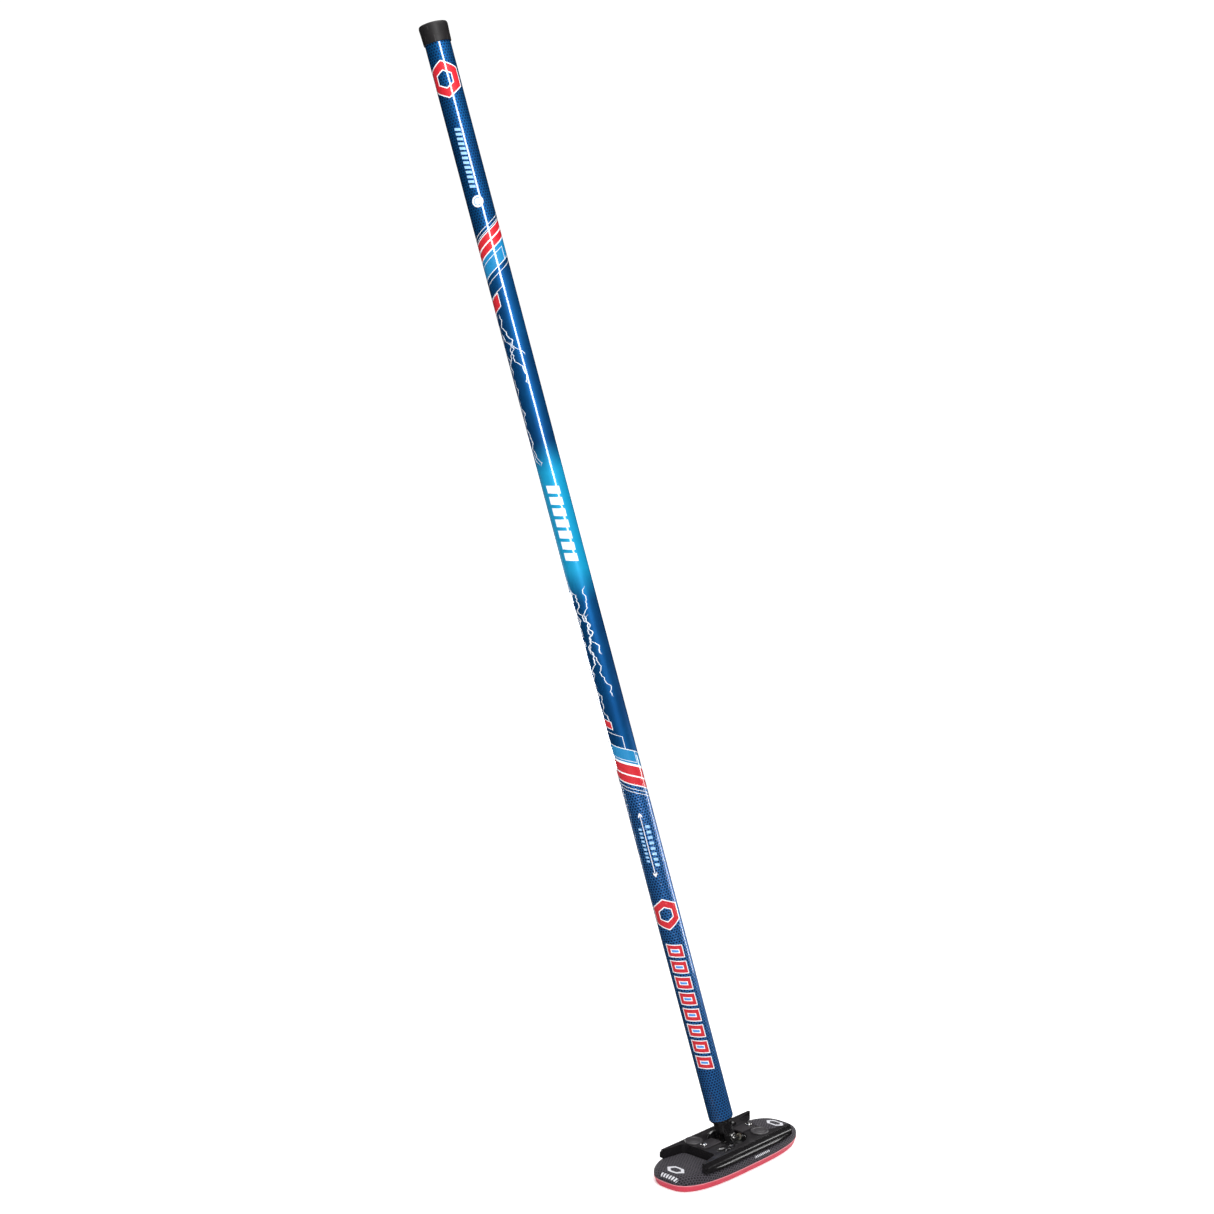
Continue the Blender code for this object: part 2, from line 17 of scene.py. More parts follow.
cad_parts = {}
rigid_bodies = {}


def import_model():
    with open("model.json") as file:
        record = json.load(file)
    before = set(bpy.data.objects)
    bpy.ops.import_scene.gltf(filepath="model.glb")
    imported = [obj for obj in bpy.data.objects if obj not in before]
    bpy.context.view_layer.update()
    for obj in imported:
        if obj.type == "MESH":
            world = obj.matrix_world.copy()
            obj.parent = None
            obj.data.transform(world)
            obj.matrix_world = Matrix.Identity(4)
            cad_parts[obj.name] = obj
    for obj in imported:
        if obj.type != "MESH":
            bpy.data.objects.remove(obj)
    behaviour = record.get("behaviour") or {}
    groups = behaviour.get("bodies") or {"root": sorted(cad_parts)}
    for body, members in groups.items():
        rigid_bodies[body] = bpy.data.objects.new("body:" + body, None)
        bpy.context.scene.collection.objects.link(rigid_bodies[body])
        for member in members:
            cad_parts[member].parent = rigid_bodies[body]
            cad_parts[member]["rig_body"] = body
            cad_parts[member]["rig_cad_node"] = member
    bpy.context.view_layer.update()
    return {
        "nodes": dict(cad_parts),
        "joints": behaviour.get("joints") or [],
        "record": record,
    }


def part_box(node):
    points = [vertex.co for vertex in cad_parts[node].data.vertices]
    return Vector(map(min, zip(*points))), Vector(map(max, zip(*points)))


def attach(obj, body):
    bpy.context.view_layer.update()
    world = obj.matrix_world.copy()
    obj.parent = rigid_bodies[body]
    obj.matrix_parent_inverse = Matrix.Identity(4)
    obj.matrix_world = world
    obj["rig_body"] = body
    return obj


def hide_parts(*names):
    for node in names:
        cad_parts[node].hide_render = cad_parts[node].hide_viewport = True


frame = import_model()

MM = 0.001
GAP = 0.3 * MM

# Camera and light
CAMERA_PLACE = (-1.4659, -1.1874, 0.7992)
CAMERA_TURN = (83.2064, 0.0, -47.2409)
CAMERA_LENS = 56.495
CAMERA_SENSOR = 36.0

# The print on the shaft. Distances along it are measured from the cross bolt, and the front is
# the side that faces the camera.
PRINT_FRONT = math.radians(-135.855)
TUBE_RADIUS = 12.7 * MM
TUBE_BORE_RADIUS = 11.4 * MM
HEX_AROUND = 26
HEX_PITCH = math.sqrt(3) / 2 * (2 * math.pi * TUBE_RADIUS / HEX_AROUND)

# The swivel's fasteners, on the cross bolt's axis. The neck's cut-outs are a little larger.
BOLT_HEAD_RADIUS = 4.0 * MM
BOLT_HEAD_FACE = -10.8 * MM
BOLT_RADIUS = 2.2 * MM
NUT_CORNER_RADIUS = 4.62 * MM
BORE_RADIUS = 2.45 * MM
SEAT_RADIUS = 4.3 * MM
POCKET_CORNER_RADIUS = 4.92 * MM
SEAT_FACE = -8.3 * MM
POCKET_FACE = 6.6 * MM
SLOT_HALF_WIDTH = 5.0 * MM
SLOT_ROOF = 6.6 * MM

# The pad's outline is a superellipse, as long and wide as the CAD pad. The cover's opening is
# another one. The plate has a bay in each end, and the cover can rise into it.
PAD_SQUARENESS = 3.05
OPENING_HALF_SIZES = (41.9 * MM, 27.0 * MM)
OPENING_SQUARENESS = 4.5
PAD_STEPS = 256
BAY_START = 47 * MM
BAY_HALF_WIDTH = 18.5 * MM

# The stage
FLOOR_HALF_SIZE = 30.0
WALL_RADIUS = 25.0

# The print's thin lines, the slopes of its bands and bars, and its colours. The bands meet in a
# point on the shaft's left side, so far round it from the front.
LINE_WIDTH = 0.55 * MM
CHEVRON_POINT = 20.2 * MM
CHEVRON_SLOPE_UP = 0.54
CHEVRON_SLOPE_DOWN = -0.59
BAR_SLANT = 0.25

NAVY = (0.004, 0.085, 0.29)
DEEP_BLUE = (0.004, 0.13, 0.40)
GRIP_BLUE = (0.050, 0.25, 0.68)
DOT_BLUE = (0.002, 0.014, 0.06)
CYAN = (0.0, 0.34, 0.62)
LIGHT_BLUE = (0.0, 0.20, 0.44)
RED = (0.56, 0.006, 0.018)
WHITE = (0.85, 0.87, 0.9)
PALE_BLUE = (0.30, 0.55, 0.85)


# ---------------------------------------------------------------- node helpers


class Field:
    """A number that varies over a surface: a node socket, with its arithmetic written as Python."""

    def __init__(self, tree, socket):
        self.tree = tree
        self.socket = socket

    def math(self, operation, *others, reverse=False):
        node = self.tree.nodes.new("ShaderNodeMath")
        node.operation = operation
        values = [self, *others]
        if reverse:
            values.reverse()
        for slot, value in zip(node.inputs, values):
            if isinstance(value, Field):
                self.tree.links.new(value.socket, slot)
            else:
                slot.default_value = value
        return Field(self.tree, node.outputs[0])

    def __add__(self, other):
        return self.math("ADD", other)

    def __radd__(self, other):
        return self.math("ADD", other)

    def __sub__(self, other):
        return self.math("SUBTRACT", other)

    def __rsub__(self, other):
        return self.math("SUBTRACT", other, reverse=True)

    def __mul__(self, other):
        return self.math("MULTIPLY", other)

    def __rmul__(self, other):
        return self.math("MULTIPLY", other)

    def __truediv__(self, other):
        return self.math("DIVIDE", other)

    def __abs__(self):
        return self.math("ABSOLUTE")

    def cos(self):
        return self.math("COSINE")

    def least(self, other):
        return self.math("MINIMUM", other)

    def most(self, other):
        return self.math("MAXIMUM", other)

    def above(self, edge, soft=0.12 * MM):
        """1 where this is over the edge and 0 where it is under, with an edge that wide."""
        step = (self - edge) * (1 / soft) + 0.5
        step.socket.node.use_clamp = True
        return step

    def below(self, edge, soft=0.12 * MM):
        step = (edge - self) * (1 / soft) + 0.5
        step.socket.node.use_clamp = True
        return step

    def between(self, low, high, soft=0.12 * MM):
        return self.above(low, soft) * self.below(high, soft)

    def line(self, middle, width, soft=0.12 * MM):
        return abs(self - middle).below(width / 2, soft)

    def zigzag(self, length, shift=0.0):
        """A triangle wave from 0 to 1 that repeats every two lengths."""
        return (self * (1 / length) + shift).math("PINGPONG", 1.0)


class Look:
    """A material under construction, with short calls for the nodes that the looks here need."""

    def __init__(self, name):
        self.material = bpy.data.materials.new(name)
        self.material.use_nodes = True
        self.tree = self.material.node_tree
        self.shader = self.tree.nodes["Principled BSDF"]
        self.place = self.tree.nodes.new("ShaderNodeTexCoord").outputs["Object"]

    def field(self, socket):
        return Field(self.tree, socket)

    def axes(self, socket=None):
        node = self.tree.nodes.new("ShaderNodeSeparateXYZ")
        self.tree.links.new(socket or self.place, node.inputs[0])
        return [self.field(output) for output in node.outputs]

    def flat(self):
        """The place on the cloth as it was cut, in metres."""
        node = self.tree.nodes.new("ShaderNodeUVMap")
        node.uv_map = "flat"
        return self.axes(node.outputs[0])[:2]

    def noise(self, scale, detail=3.0, roughness=0.55, stretch=None):
        node = self.tree.nodes.new("ShaderNodeTexNoise")
        node.inputs["Scale"].default_value = scale
        node.inputs["Detail"].default_value = detail
        node.inputs["Roughness"].default_value = roughness
        source = self.place
        if stretch is not None:
            mapping = self.tree.nodes.new("ShaderNodeMapping")
            mapping.inputs["Scale"].default_value = stretch
            self.tree.links.new(source, mapping.inputs["Vector"])
            source = mapping.outputs[0]
        self.tree.links.new(source, node.inputs["Vector"])
        return self.field(node.outputs["Fac"])

    def cells(self, scale):
        node = self.tree.nodes.new("ShaderNodeTexVoronoi")
        node.inputs["Scale"].default_value = scale
        self.tree.links.new(self.place, node.inputs["Vector"])
        return self.field(node.outputs["Distance"])

    def mix(self, mask, under, over):
        """The colour over laid on the colour under, as far as the mask says."""
        node = self.tree.nodes.new("ShaderNodeMix")
        node.data_type = "RGBA"
        self.tree.links.new(mask.socket, node.inputs["Factor"])
        for slot, colour in ((node.inputs["A"], under), (node.inputs["B"], over)):
            if isinstance(colour, tuple):
                slot.default_value = (*colour, 1.0)
            else:
                self.tree.links.new(colour, slot)
        return node.outputs["Result"]

    def fit(self, field, low, high, to_low, to_high):
        node = self.tree.nodes.new("ShaderNodeMapRange")
        self.tree.links.new(field.socket, node.inputs["Value"])
        for name, value in zip(("From Min", "From Max", "To Min", "To Max"), (low, high, to_low, to_high)):
            node.inputs[name].default_value = value
        return self.field(node.outputs["Result"])

    def set(self, **values):
        """Shader inputs by name, with _ for a space: a number, a colour, a Field or a socket."""
        for name, value in values.items():
            slot = self.shader.inputs[name.replace("_", " ")]
            if isinstance(value, Field):
                self.tree.links.new(value.socket, slot)
            elif isinstance(value, bpy.types.NodeSocket):
                self.tree.links.new(value, slot)
            elif isinstance(value, tuple):
                slot.default_value = (*value, 1.0)
            else:
                slot.default_value = value
        return self

    def bump(self, height, distance, strength=1.0, slot="Normal"):
        node = self.tree.nodes.new("ShaderNodeBump")
        node.inputs["Distance"].default_value = distance
        node.inputs["Strength"].default_value = strength
        self.tree.links.new(height.socket, node.inputs["Height"])
        self.tree.links.new(node.outputs[0], self.shader.inputs[slot])
        return self


def hexagons(along, around_turns, pitch):
    """Three crossed waves: 3 at the middle of each cell of a honeycomb, and -1.5 on its corners."""
    turn = 2 * math.pi / pitch
    slanted = along * (turn / 2)
    return (along * turn).cos() + (slanted + around_turns).cos() + (slanted - around_turns).cos()


def hexagon_distance(x, y):
    """The distance from a point to the middle, measured so that its contours are hexagons."""
    return abs(y).most(abs(x) * (math.sqrt(3) / 2) + abs(y) * 0.5)


# ---------------------------------------------------------------- materials


class Print:
    """Inks laid one over another. ink is 1 where the metallic ground under them is hidden."""

    def __init__(self, look, ground):
        self.look = look
        self.colour = ground
        self.ink = None

    def tint(self, mask, colour):
        self.colour = self.look.mix(mask, self.colour, colour)

    def lay(self, mask, colour):
        self.tint(mask, colour)
        self.ink = mask if self.ink is None else self.ink.most(mask)


def chevrons(art, along, around, bands, upward):
    """Slanted bands of light blue and red round the shaft, with thin white lines between them.

    They meet in a point on the left, which points up the shaft or down it. A band's level is
    where it crosses the left side, in millimetres along the shaft. A hook is an L of two lines: its
    arm runs along a level as far round as the turn, and its end goes on to another level.
    """
    circumference = 2 * math.pi * TUBE_RADIUS
    apart = abs(around + CHEVRON_POINT)
    apart = apart.least(circumference - apart)
    level = along + apart * (CHEVRON_SLOPE_UP if upward else CHEVRON_SLOPE_DOWN)
    for kind, colour in (("white", WHITE), ("blue", LIGHT_BLUE), ("red", RED)):
        for low, high in bands[kind]:
            art.lay(level.between(low * MM, high * MM), colour)
    for middle in bands["lines"]:
        art.lay(level.line(middle * MM, LINE_WIDTH), WHITE)
    for line, far_side, turn in bands["hooks"]:
        low, high = sorted((line * MM, far_side * MM))
        arm = level.line(line * MM, LINE_WIDTH) * around.below(turn * MM)
        end = around.line(turn * MM, LINE_WIDTH) * level.between(low, high)
        art.lay(arm.most(end), WHITE)
    low, high, end = (value * MM for value in bands["block"])
    edge = 0.7 * MM
    art.lay(level.between(low, high) * around.below(end), WHITE)
    art.lay(level.between(low + edge, high - edge) * around.below(end - edge), RED)


def lightning(art, along, around, bolts):
    """Jagged bolts. Each is (start, end, sway, width) in millimetres, and its ends are (along, around)."""
    for number, (start, end, sway, width) in enumerate(bolts):
        (s0, u0), (s1, u1) = start, end
        slope = (u1 - u0) / (s1 - s0)
        straight = (along - s0 * MM) * slope + u0 * MM
        shift = 0.37 * number
        jag = along.zigzag(13.0 * MM, shift) + along.zigzag(5.3 * MM, 2 * shift) * 0.55
        jag = jag + along.zigzag(2.1 * MM, 3 * shift) * 0.16
        away = abs(around - straight - (jag - 0.85) * (sway * MM))
        low, high = sorted((s0, s1))
        reach = along.between(low * MM, high * MM, 3 * MM)
        art.tint(away.below(width * 1.2 * MM, 1.8 * MM) * reach * 0.45, (0.02, 0.22, 0.55))
        art.lay(away.below(width / 2 * MM, 0.25 * MM) * reach, WHITE)


def slanted_bars(art, along, around, place, bars, inks):
    """A row of slanted bars: place is (start, end, low, high) in millimetres along and around.

    Each of the inks is (inset at the bar's ends in millimetres, margin beside it as a share of
    the pitch, colour).
    """
    start, end, low, high = (value * MM for value in place)
    pitch = (end - start) / bars
    cell = (along + around * BAR_SLANT - start) / pitch
    within = cell.math("FRACT")
    row = cell.above(0.02, 0.01) * cell.below(bars - 0.02, 0.01)
    for inset, margin, ink in inks:
        bar = within.between(margin, 1 - margin, 0.02) * row
        art.lay(bar * around.between(low + inset * MM, high - inset * MM), ink)


def emblem(art, along, around, place, radius):
    """A plain red hexagon ring with white edges."""
    middle_along, middle_around = place
    away = hexagon_distance(along - middle_along * MM, around - middle_around * MM)
    edge = 1.0
    hole = radius * 0.5
    art.lay(away.between((hole - edge) * MM, radius * MM), WHITE)
    art.lay(away.between(hole * MM, (radius - edge) * MM), RED)


UPPER_BANDS = {
    "white": [(898.2, 934.2)],
    "blue": [(899.0, 916.2)],
    "red": [(926.2, 933.4), (917.4, 924.6)],
    "lines": (939.3, 935.6),
    "hooks": [(911.2, 899.0, 11.0), (893.0, 898.2, 20.0), (879.6, 893.0, 1.0)],
    "block": (865.0, 879.0, -5.6),
}
LOWER_BANDS = {
    "white": [(393.8, 432.6)],
    "blue": [(417.6, 431.8)],
    "red": [(405.0, 415.2), (395.0, 403.4)],
    "lines": (389.6, 386.0),
    "hooks": [(419.9, 431.8, 10.6), (445.2, 432.6, 1.5)],
    "block": (449.6, 458.4, -5.6),
}
UPPER_BOLTS = [
    ((868, -17), (716, -13), 5.0, 0.9),
    ((866, -12), (834, -5), 4.0, 1.0),
    ((846, -13), (796, 3), 4.4, 0.8),
    ((834, -6), (806, -15), 3.6, 0.8),
    ((838, -7), (824, 4), 2.6, 0.7),
    ((775, -18), (715, -9), 3.6, 0.7),
]
LOWER_BOLTS = [
    ((598, -15), (446, -16), 6.0, 1.4),
    ((590, -12), (520, 1), 5.6, 1.1),
    ((588, 3), (558, -3), 3.6, 0.8),
    ((560, -1), (500, -10), 5.0, 1.3),
    ((530, -7), (476, 3), 3.8, 0.8),
    ((602, -18), (540, -11), 4.4, 1.0),
    ((500, -14), (450, -8), 4.2, 0.8),
]


def grip_marks(art, along, around):
    """A thin double-headed arrow along the grip, between two rows of small bars."""
    inks = [(0.0, 0.25, PALE_BLUE)]
    slanted_bars(art, along, around, (300, 338, -6.8, -3.6), 9, inks)
    slanted_bars(art, along, around, (296, 342, 0.8, 5.4), 8, inks)
    middle, beside, half_length = 320 * MM, -1.6 * MM, 33 * MM
    aside = abs(around - beside)
    shank = aside.below(0.35 * MM) * along.between(middle - half_length, middle + half_length)
    tips = (abs(along - middle) + aside * 1.6).between(half_length - 1.2 * MM, half_length + 1.2 * MM)
    art.lay(shank.most(tips * aside.below(2.0 * MM)), WHITE)


def badge(art, along, around):
    """A plain white disc with a thin blue ring."""
    x, y = along - 976 * MM, around + 1.6 * MM
    away = (x * x + y * y).math("SQRT")
    art.lay(away.below(5.6 * MM), WHITE)
    art.lay(away.between(3.2 * MM, 3.9 * MM), LIGHT_BLUE)


def shaft_print():
    look = Look("printed_carbon_tube")
    x, y, along = look.axes()
    ahead = x * math.cos(PRINT_FRONT) + y * math.sin(PRINT_FRONT)
    aside = y * math.cos(PRINT_FRONT) - x * math.sin(PRINT_FRONT)
    angle = aside.math("ARCTAN2", ahead)
    around = angle * TUBE_RADIUS

    honeycomb = hexagons(along, angle * HEX_AROUND, HEX_PITCH)
    dots = honeycomb.above(0.0, 0.9)
    cloud = look.noise(14, 4)
    art = Print(look, look.mix(cloud.between(0.45, 2.0, 0.3), NAVY, DEEP_BLUE))
    upper_zone = along.above(915 * MM, 30 * MM)
    lower_zone = along.below(388 * MM, 6 * MM)
    art.tint(lower_zone, GRIP_BLUE)
    art.tint(dots * (upper_zone * 0.85 + lower_zone * 0.92), DOT_BLUE)
    cyan_zone = along.above(590 * MM, 34 * MM) * along.below(722 * MM, 30 * MM)
    art.tint(cyan_zone, CYAN)
    lightning(art, along, around, UPPER_BOLTS + LOWER_BOLTS)
    chevrons(art, along, around, UPPER_BANDS, upward=False)
    chevrons(art, along, around, LOWER_BANDS, upward=True)
    slanted_bars(art, along, around, (614, 694, -8.6, 4.4), 7, [(0.0, 0.16, WHITE)])
    slanted_bars(art, along, around, (988, 1048, -5.6, 0.2), 13, [(0.0, 0.22, PALE_BLUE)])
    blocks = [(0.0, 0.10, WHITE), (0.9, 0.155, RED), (4.3, 0.38, WHITE), (5.2, 0.43, GRIP_BLUE)]
    slanted_bars(art, along, around, (77, 215, -10.8, 6.6), 8, blocks)
    grip_marks(art, along, around)
    badge(art, along, around)
    emblem(art, along, around, (1095, -2.0), 16.0)
    emblem(art, along, around, (246, -1.6), 14.5)

    bare_wall = (x * x + y * y).math("SQRT").below(TUBE_RADIUS - 0.5 * MM, 0.1 * MM)
    carbon = look.noise(900, 2, stretch=(1, 1, 0.2))
    art.lay(bare_wall, look.mix(carbon, (0.012, 0.012, 0.013), (0.03, 0.03, 0.032)))

    wear = look.noise(60, 6, 0.7)
    look.set(
        Base_Color=art.colour,
        Metallic=0.8 - art.ink.most(cyan_zone * 0.6) * 0.75,
        Roughness=look.fit(wear, 0.3, 0.7, 0.50, 0.58),
        Coat_Weight=1.0,
        Coat_Roughness=0.03,
        Coat_IOR=1.8,
    )
    dimples = honeycomb.above(0.2, 1.6) * lower_zone
    look.bump(look.noise(110, 2, stretch=(1, 1, 0.35)) * 0.35 - dimples, 0.16 * MM, 0.75)
    coat_waves = look.noise(70, 2, stretch=(1, 1, 0.3)) * 0.15
    look.bump(coat_waves - dimples, 0.12 * MM, 1.0, "Coat Normal")
    return look.material


def rubber():
    look = Look("cap_rubber")
    mottle = look.noise(90, 6, 0.65)
    scuff = look.noise(420, 3, 0.5, stretch=(1, 1, 0.25))
    colour = look.mix(mottle, (0.006, 0.0052, 0.0056), (0.014, 0.0125, 0.0135))
    colour = look.mix(scuff.between(0.66, 2.0, 0.05) * 0.6, colour, (0.04, 0.036, 0.038))
    look.set(Base_Color=colour, Roughness=look.fit(mottle, 0.3, 0.7, 0.48, 0.62), Specular_IOR_Level=0.35)
    return look.bump(mottle + scuff * 0.5, 0.12 * MM).material


def gloss_plastic():
    look = Look("gloss_black_plastic")
    smudge = look.noise(55, 5, 0.6)
    flow = look.noise(190, 2)
    colour = look.mix(smudge, (0.006, 0.006, 0.0065), (0.013, 0.012, 0.013))
    look.set(Base_Color=colour, Roughness=look.fit(smudge, 0.3, 0.7, 0.09, 0.24))
    look.set(Coat_Weight=0.4, Coat_Roughness=0.08)
    return look.bump(flow, 0.05 * MM).material


def plate_plastic():
    """Fine matte grain on the level faces, and gloss on the walls and rails below them."""
    look = Look("head_plate_plastic")
    _, _, height = look.axes()
    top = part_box("head_plate")[1].z
    level = height.above(top - 0.12 * MM, 0.08 * MM)
    grain = look.cells(1500)
    fine = look.noise(2600, 3, 0.6)
    mottle = look.noise(45, 5, 0.6)
    rubbed = look.noise(160, 4, 0.7, stretch=(0.35, 1.2, 1)).between(0.60, 2.0, 0.08)
    matte = look.mix(mottle, (0.012, 0.011, 0.012), (0.022, 0.020, 0.022))
    gloss = look.mix(mottle, (0.007, 0.0065, 0.007), (0.012, 0.011, 0.012))
    colour = look.mix(level, gloss, matte)
    colour = look.mix(rubbed * level * 0.35, colour, (0.06, 0.055, 0.06))
    rough = look.fit(mottle, 0.3, 0.7, 0.42, 0.52) * level
    rough = rough + look.fit(mottle, 0.3, 0.7, 0.16, 0.26) * (1 - level)
    look.set(Base_Color=colour, Roughness=rough, Specular_IOR_Level=0.5)
    return look.bump((grain * 0.7 + fine * 0.5) * level, 0.08 * MM).material


def grained_plastic(name, dark, light):
    look = Look(name)
    grain = look.cells(1500)
    mottle = look.noise(70, 5, 0.6)
    colour = look.mix(mottle, dark, light)
    look.set(Base_Color=colour, Roughness=look.fit(mottle, 0.3, 0.7, 0.38, 0.5))
    return look.bump(grain + mottle * 0.5, 0.06 * MM).material


def steel():
    look = Look("bright_steel")
    turned_marks = look.noise(2400, 3, 0.5, stretch=(1, 0.15, 1))
    stain = look.noise(240, 4, 0.6)
    colour = look.mix(stain.between(0.45, 2.0, 0.3), (0.80, 0.80, 0.81), (0.60, 0.59, 0.57))
    rough = look.fit(turned_marks, 0.2, 0.8, 0.16, 0.34)
    look.set(Base_Color=colour, Metallic=1.0, Roughness=rough)
    return look.bump(turned_marks, 0.03 * MM).material


def brass():
    look = Look("insert_brass")
    marks = look.noise(1800, 3, 0.5)
    colour = look.mix(marks, (0.72, 0.46, 0.16), (0.85, 0.62, 0.28))
    look.set(Base_Color=colour, Metallic=1.0, Roughness=look.fit(marks, 0.2, 0.8, 0.22, 0.4))
    return look.bump(marks, 0.03 * MM).material


def nylon():
    look = Look("natural_nylon")
    mottle = look.noise(320, 4, 0.5)
    colour = look.mix(mottle, (0.30, 0.28, 0.23), (0.42, 0.40, 0.34))
    look.set(Base_Color=colour, Roughness=look.fit(mottle, 0.2, 0.8, 0.35, 0.5))
    look.set(Subsurface_Weight=0.1, Subsurface_Scale=1.0 * MM)
    return look.bump(mottle, 0.04 * MM).material


def board():
    look = Look("stiffener_plastic")
    mottle = look.noise(180, 5, 0.6)
    colour = look.mix(mottle, (0.03, 0.03, 0.031), (0.055, 0.054, 0.056))
    look.set(Base_Color=colour, Roughness=look.fit(mottle, 0.2, 0.8, 0.5, 0.65))
    return look.bump(mottle, 0.1 * MM).material


def foam_skin():
    look = Look("closed_cell_foam")
    bubbles = look.cells(1600)
    tone = look.noise(200, 4, 0.6)
    colour = look.mix(tone, (0.20, 0.20, 0.21), (0.32, 0.32, 0.33))
    look.set(Base_Color=colour, Roughness=look.fit(bubbles, 0.0, 0.6, 0.95, 0.8))
    return look.bump(bubbles, 0.15 * MM).material


def cover_textile():
    """Dark textile pressed with a honeycomb, with a plain white mark at each end and bars by them."""
    look = Look("honeycomb_textile")
    x, y = look.flat()
    pitch = 2.7 * MM
    cells = hexagons(x, y * (2 * math.pi / pitch * math.sqrt(3) / 2), pitch)
    wall = cells.below(-0.35, 0.9)
    fuzz = look.noise(900, 4, 0.7)
    threads = (x * (2 * math.pi / (0.55 * MM))).cos() * (y * (2 * math.pi / (0.55 * MM))).cos()
    tone = look.noise(30, 4, 0.6)
    colour = look.mix(tone, (0.005, 0.0042, 0.006), (0.010, 0.0085, 0.012))
    colour = look.mix(wall * 0.8, colour, (0.072, 0.064, 0.080))
    colour = look.mix(fuzz.between(0.6, 2.0, 0.1) * 0.25, colour, (0.09, 0.083, 0.097))
    pad_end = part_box("pad_cover")[1].x
    for sign in (-1, 1):
        away = hexagon_distance((y - sign * 1.0 * MM) * 0.62, x - sign * (pad_end - 14.5 * MM))
        mark = away.between(3.7 * MM, 6.0 * MM, 0.2 * MM)
        colour = look.mix(mark, colour, (0.66, 0.66, 0.70))
    bars = ((y + x * 0.2 + 0.4 * MM) / (3.6 * MM)).math("FRACT").between(0.2, 0.78, 0.05)
    row = x.between(-pad_end - 1.2 * MM, -pad_end + 3.2 * MM) * y.between(-15 * MM, 7 * MM)
    colour = look.mix(bars * row, colour, (0.66, 0.66, 0.70))
    side_bars = ((x + y * 0.3) / (2.6 * MM)).math("FRACT").between(0.25, 0.75, 0.08)
    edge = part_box("pad_cover")[0].y
    row = y.between(edge - 1.0 * MM, edge + 1.4 * MM) * x.between(2 * MM, 26 * MM)
    colour = look.mix(side_bars * row, colour, (0.66, 0.66, 0.70))
    look.set(Base_Color=colour, Roughness=look.fit(fuzz, 0.3, 0.7, 0.62, 0.8))
    look.set(Sheen_Weight=0.12, Sheen_Roughness=0.4, Specular_IOR_Level=0.3)
    return look.bump(wall + threads * 0.12 + fuzz * 0.25, 0.28 * MM).material


def sweeping_nylon():
    """Tightly woven red nylon, with a painted highlight along its top edge."""
    look = Look("red_sweeping_nylon")
    x, y = look.flat()
    pitch = 0.8 * MM
    turn = 2 * math.pi / pitch
    weave = ((x + y) * (turn / 2)).cos() * ((x - y) * (turn / 2)).cos()
    fuzz = look.noise(1100, 4, 0.7)
    tone = look.noise(22, 4, 0.6)
    colour = look.mix(tone, (0.50, 0.018, 0.045), (0.60, 0.032, 0.070))
    colour = look.mix(weave.between(0.2, 9.0, 0.5) * 0.35, colour, (0.68, 0.075, 0.12))
    _, _, height = look.axes()
    # Painted highlight: the top 0.7 mm of the band is mixed halfway towards pale pink, standing in for
    # light caught on the turned edge.
    painted_lip_highlight = height.above(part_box("sweeping_fabric")[1].z - 0.7 * MM, 0.3 * MM)
    colour = look.mix(painted_lip_highlight * 0.5, colour, (0.80, 0.42, 0.47))
    look.set(Base_Color=colour, Roughness=look.fit(fuzz, 0.3, 0.7, 0.5, 0.68))
    look.set(Sheen_Weight=0.35, Sheen_Roughness=0.35, Sheen_Tint=(1.0, 0.62, 0.68))
    return look.bump(weave * 0.5 + fuzz * 0.3, 0.10 * MM).material


def floor_paint():
    look = Look("pale_floor")
    tone = look.noise(2.0, 3)
    look.set(Base_Color=look.mix(tone, (0.88, 0.88, 0.88), (0.90, 0.90, 0.90)), Roughness=0.9)
    x, y, _ = look.axes()
    away = (x * x + y * y).math("SQRT")
    look.set(Emission_Color=(1.0, 1.0, 1.0), Emission_Strength=look.fit(away, 0.4, 5.0, 0.38, 1.0))
    return look.material


def wall_paint():
    look = Look("white_wall")
    look.set(Base_Color=(0.0, 0.0, 0.0), Emission_Color=(1.0, 1.0, 1.0), Emission_Strength=1.05)
    return look.material


# ---------------------------------------------------------------- mesh helpers


def add_mesh(name, bm, material, matrix=Matrix.Identity(4), angle=35.0):
    bmesh.ops.recalc_face_normals(bm, faces=bm.faces)
    mesh = bpy.data.meshes.new(name)
    bm.to_mesh(mesh)
    bm.free()
    if material is not None:
        mesh.materials.append(material)
        mesh.shade_smooth()
        mesh.set_sharp_from_angle(angle=math.radians(angle))
    piece = bpy.data.objects.new(name, mesh)
    bpy.context.scene.collection.objects.link(piece)
    piece.matrix_world = matrix
    return piece


def skin(bm, rings, ends="caps"):
    """Joins rings of vertices in order. The ends are capped, left open or joined to each other."""
    pairs = list(zip(rings, rings[1:]))
    if ends == "joined":
        pairs.append((rings[-1], rings[0]))
    if ends == "caps":
        bm.faces.new(rings[0])
        bm.faces.new(rings[-1])
    for lower, upper in pairs:
        count = len(lower)
        for i in range(count):
            j = (i + 1) % count
            bm.faces.new((lower[i], lower[j], upper[j], upper[i]))


def turned(profile, steps=96, ends="caps", axis="Z"):
    """A solid turned from (radius, height) points."""
    bm = bmesh.new()
    rings = []
    for radius, height in profile:
        turns = [2 * math.pi * i / steps for i in range(steps)]
        rings.append([bm.verts.new((radius * math.cos(a), radius * math.sin(a), height)) for a in turns])
    skin(bm, rings, ends)
    turns = {
        "X": Matrix.Rotation(math.pi / 2, 4, "Y"),
        "Y": Matrix.Rotation(-math.pi / 2, 4, "X"),
        "Z": Matrix.Identity(4),
    }
    bm.transform(turns[axis])
    return bm


